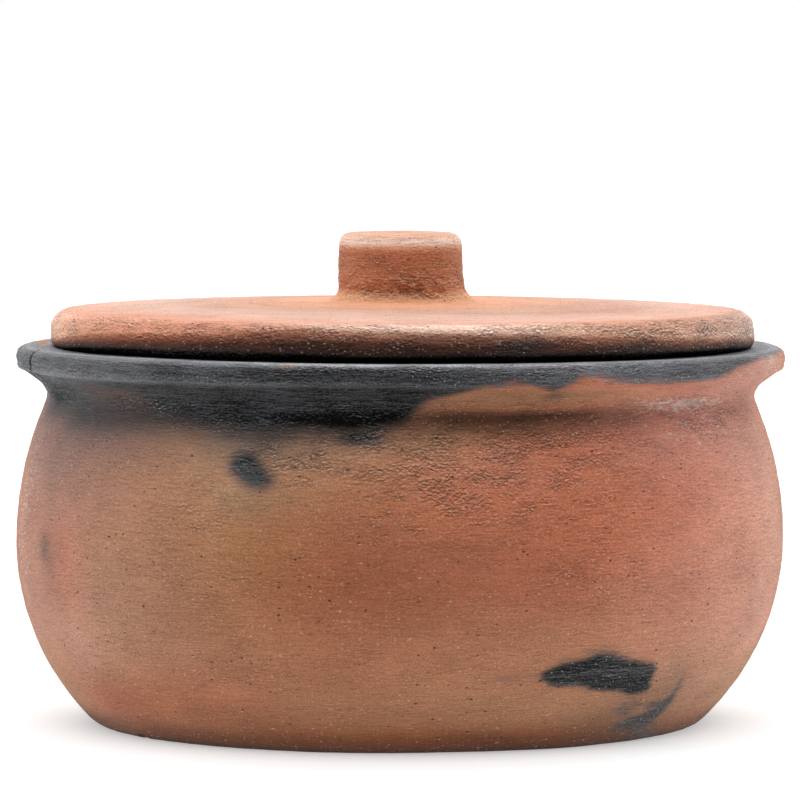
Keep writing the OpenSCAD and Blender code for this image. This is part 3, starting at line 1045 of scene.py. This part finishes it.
class FiredClay(Graph):
    """Fired clay with soot. The noises and painted fields that several layers use are its parts."""

    def __init__(self, name):
        super().__init__(name)
        self.bloom_and_sheen = self.painted("bloom_and_sheen")
        self.ragged = self.painted("ragged")
        self.blotches = self.noise(26, 16, 4, 0.65)
        self.streaks = self.noise(9, 1.3, 4, 0.65)
        self.lines = self.noise(60, 0.9, 2, 0.5)
        self.grain = self.noise(1.5, 0.8, 3, 0.7)
        self.sand = self.noise(0.6, 0.45, 2, 0.7)
        scabs, scab_light = self.relief(1.5, 0.65, 3, 0.6, 0.6, 0.24)
        self.combed, self.comb_light = self.relief(5.0, 0.8, 2, 0.6, 0.2, 0.25)
        clusters = self.ramp(self.noise(11, 4.5, 3, 0.6), -0.2, 0.35, 0.45, 1.5)
        self.torn = self.math("MULTIPLY", self.painted("torn"), clusters)
        self.rough_tone = self.math("MULTIPLY", scabs, self.torn)
        # The lumps' lit and shaded sides, painted into the colour as light and shade
        self.rough_light = self.math("MULTIPLY", scab_light, self.torn)
        self.rough_edges = self.math("MAXIMUM", self.rough_light, 0.0)
        self.fine = self.total((self.grain, 0.28), (self.sand, 0.7))

    def toned_clay(self, base):
        """Light and dark tones of the clay, with painted light and shade on the lit and shaded sides of its
        lumps, and painted highlights along its torn edges.
        """
        tone = self.total(
            (self.blotches, 0.24), (self.streaks, 0.14), (self.lines, 0.06), (self.fine, 0.8),
            (self.comb_light, 0.22), (self.rough_tone, 0.2), (self.rough_light, 0.8),
            (self.rough_edges, 0.6),
        )
        dark = self.mix(1.0, base, DARKER, "MULTIPLY")
        light = self.mix(1.0, base, LIGHTER, "MULTIPLY")
        # The painted highlight on the lit edges of torn lumps
        lump_highlight = self.mix(1.0, base, LUMP_HIGHLIGHT, "MULTIPLY")
        clay = self.mix(self.ramp(tone, -0.8, 0.8), dark, light)
        return self.mix(self.ramp(self.rough_edges, 0.1, 0.45, 0.0, 0.8), clay, lump_highlight)

    def speckled(self, clay, lit):
        """Salt that dried on the clay, partly a painted sheen along the pot's edges, and pale grit; lit
        keeps both out of the black painted shadow.
        """
        salt = self.total((self.noise(3.6, 0.9, 4, 0.75), 0.9), (self.sand, 0.25), (self.bloom_and_sheen, 0.36))
        salt = self.ramp(salt, 0.38, 0.7)
        self.grit = self.math("MAXIMUM", self.dots(3.4, 2.4, 0.2, 0.3), self.dots(1.5, 1.0, 0.3, 0.12))
        specks = self.math("MULTIPLY", self.dots(1.4, 0.7, 0.4, 0.22), self.torn)
        for share, strength, colour in ((salt, 0.72, SALT), (self.grit, 0.45, GRIT), (specks, 0.8, CHALK)):
            seen = self.math("MULTIPLY", share, self.math("MULTIPLY", lit, strength))
            clay = self.mix(seen, clay, colour)
        return clay

    # Small pits, sunk by the bump and painted dark as shade inside them
    def pitted(self, clay):
        self.pits = self.math("MAXIMUM", self.dots(6, 4.5, 0.12, 0.3), self.dots(3.4, 1.6, 0.2, 0.12))
        return self.mix(self.math("MULTIPLY", self.pits, 0.85), clay, PIT)

    def black(self):
        """The soot's colour: worn to grey, nearly white in places on the lip's crest as scuffs and a
        painted highlight, with painted light and shade on its lumps and specks of ash.
        """
        rubbed_and_painted_light = self.total(
            (self.painted("rubbed_and_painted_light"), 1.0), (self.streaks, 0.3), (self.lines, 0.2), (self.blotches, 0.3),
            (self.fine, 0.8), (self.comb_light, 0.3), (self.rough_tone, 0.4), (self.rough_light, 1.6),
            (self.rough_edges, 1.0),
        )
        black = self.mix(self.ramp(rubbed_and_painted_light, -0.35, 1.25), SOOT_DARK, SOOT_LIGHT)
        black = self.mix(self.ramp(rubbed_and_painted_light, 0.9, 1.7), black, SCUFF_AND_GLINT)
        ashy = self.total((self.ragged, 0.45), (self.torn, 0.2), (self.bloom_and_sheen, 0.5))
        return self.mix(self.math("MULTIPLY", self.dots(1.2, 0.9, 0.3, 0.14), ashy), black, SALT)

    def soot(self):
        """How much of the clay the soot hides, with a ragged edge."""
        feather = self.math("MULTIPLY", self.total((self.streaks, 0.7), (self.fine, 0.6)), self.ragged)
        soot = self.total((self.painted("soot"), 1.0), (self.fine, 0.34), (feather, 1.0))
        return self.ramp(soot, 0.1, 0.95)

    def height(self):
        """The small relief, in millimetres."""
        return self.total(
            (self.streaks, 0.12), (self.lines, 0.04), (self.grain, 0.14), (self.combed, 0.16),
            (self.pits, -0.4), (self.grit, 0.12), (self.rough_tone, 1.2),
        )

    def brightness(self, colour):
        return self.add("ShaderNodeRGBToBW", colour).outputs[0]


def fired_clay(name):
    g = FiredClay(name)
    base = g.painted("ground", "Color")
    # lit is 0 on the black painted shadow, 1 elsewhere
    lit = g.ramp(g.brightness(base), *PAINTED_BLACK)
    clay = g.pitted(g.speckled(g.toned_clay(base), lit))
    soot = g.soot()
    colour = g.mix(soot, clay, g.black())
    roughness = g.math("ADD", g.total((soot, -0.14), (g.grain, 0.12)), CLAY_ROUGHNESS)
    shine = g.ramp(g.brightness(colour), *SHINELESS_BLACK, 0.0, CLAY_SHINE)
    return g.finish(colour, roughness, shine, g.height())


# Light: how bright the studio is in each direction
DIM = 0.04
SIDE = 1.8
SIDE_EDGE = (-0.12, 0.35)
PANEL = 1.9
PANEL_WAY = (0, -0.42, 0.907)
PANEL_EDGE = (0.7, 0.92)
FLOOR_GLOW = 0.42
FLOOR_PALE = (0.69, 0.72, 0.73)
FLOOR_FRONT = -0.32
FLOOR_BACK = 8
FLOOR_SIDE = 4


def soft_ramp(tree, source, low, high, at_low, at_high):
    """A smooth change from one value to another between two values of the source."""
    node = tree.nodes.new("ShaderNodeMapRange")
    node.interpolation_type = "SMOOTHSTEP"
    tree.links.new(source, node.inputs["Value"])
    node.inputs["From Min"].default_value = low
    node.inputs["From Max"].default_value = high
    node.inputs["To Min"].default_value = at_low
    node.inputs["To Max"].default_value = at_high
    return node.outputs["Result"]


def make_world():
    """A white studio: bright above, behind and at the sides, dim in front, plain white to the camera."""
    world = bpy.data.worlds.new("studio")
    bpy.context.scene.world = world
    world.use_nodes = True
    tree = world.node_tree
    tree.nodes.clear()
    new = tree.nodes.new
    link = tree.links.new
    place = new("ShaderNodeTexCoord")
    split = new("ShaderNodeSeparateXYZ")
    link(place.outputs["Generated"], split.inputs[0])

    tipped = new("ShaderNodeVectorMath")
    tipped.operation = "DOT_PRODUCT"
    tipped.inputs[1].default_value = PANEL_WAY
    link(place.outputs["Generated"], tipped.inputs[0])
    around = soft_ramp(tree, split.outputs["Y"], *SIDE_EDGE, DIM, SIDE)
    above = soft_ramp(tree, tipped.outputs["Value"], *PANEL_EDGE, 0, PANEL)
    most = new("ShaderNodeMath")
    most.operation = "MAXIMUM"
    link(around, most.inputs[0])
    link(above, most.inputs[1])
    light = new("ShaderNodeBackground")
    link(most.outputs[0], light.inputs["Strength"])
    white = new("ShaderNodeBackground")
    path = new("ShaderNodeLightPath")
    mix = new("ShaderNodeMixShader")
    link(path.outputs["Is Camera Ray"], mix.inputs["Fac"])
    link(light.outputs[0], mix.inputs[1])
    link(white.outputs[0], mix.inputs[2])
    out = new("ShaderNodeOutputWorld")
    link(mix.outputs[0], out.inputs["Surface"])
    for shader in (light, white):
        shader.inputs["Color"].default_value = (1, 1, 1, 1)


def make_floor():
    """A white table top, which ends in front of the pot: beyond it the studio is dark."""
    corners = [(-FLOOR_SIDE, FLOOR_FRONT, 0), (FLOOR_SIDE, FLOOR_FRONT, 0)]
    corners += [(FLOOR_SIDE, FLOOR_BACK, 0), (-FLOOR_SIDE, FLOOR_BACK, 0)]
    mesh = bpy.data.meshes.new("floor")
    mesh.from_pydata(corners, [], [(0, 1, 2, 3)])
    floor = bpy.data.objects.new("floor", mesh)
    bpy.context.scene.collection.objects.link(floor)
    material = bpy.data.materials.new("pale_floor")
    material.use_nodes = True
    shader = material.node_tree.nodes["Principled BSDF"]
    shader.inputs["Base Color"].default_value = (*FLOOR_PALE, 1)
    shader.inputs["Roughness"].default_value = 1
    shader.inputs["Specular IOR Level"].default_value = 0
    shader.inputs["Emission Color"].default_value = (1, 1, 1, 1)
    shader.inputs["Emission Strength"].default_value = FLOOR_GLOW
    mesh.materials.append(material)


pot_piece = make_pot()
lid_piece = make_lid()
for piece, node in ((pot_piece, "pot"), (lid_piece, "lid")):
    piece.data.materials.append(fired_clay(f"{node}_fired_clay"))
    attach(piece, "root")
    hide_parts(node)
make_world()
make_floor()
bpy.context.scene.view_settings.view_transform = "Standard"
